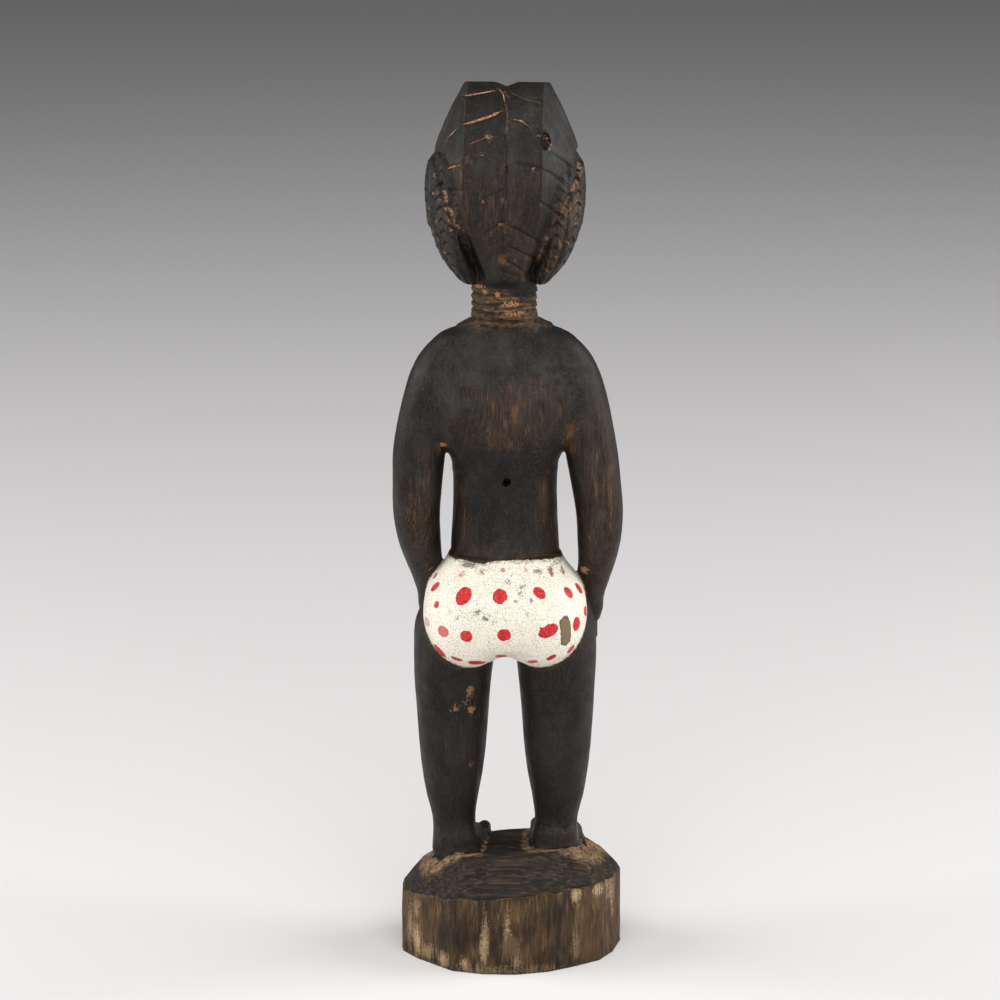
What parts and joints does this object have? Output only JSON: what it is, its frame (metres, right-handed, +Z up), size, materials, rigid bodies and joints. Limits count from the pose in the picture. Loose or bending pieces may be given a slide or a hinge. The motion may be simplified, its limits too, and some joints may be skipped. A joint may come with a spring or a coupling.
{
  "type": "carved wooden standing figure",
  "caption": "Standing wooden figure with hands on the thighs, crested hair, ringed neck and painted shorts, carved in one piece with its round base.",
  "frame": {"origin": "middle of the base's flat underside", "axes": "+Z up along the standing figure, the face looks along -Y, +X towards the figure's left hand"},
  "size_m": [0.1049, 0.0927, 0.4],
  "materials": {
    "carved_wood": "near-black stained hand-carved hardwood, worn brown on the neck and base, with cracked cream-white paint and red spots over the shorts"
  },
  "bodies": {
    "root": {"figure": "carved_wood"}
  },
  "joints": []
}
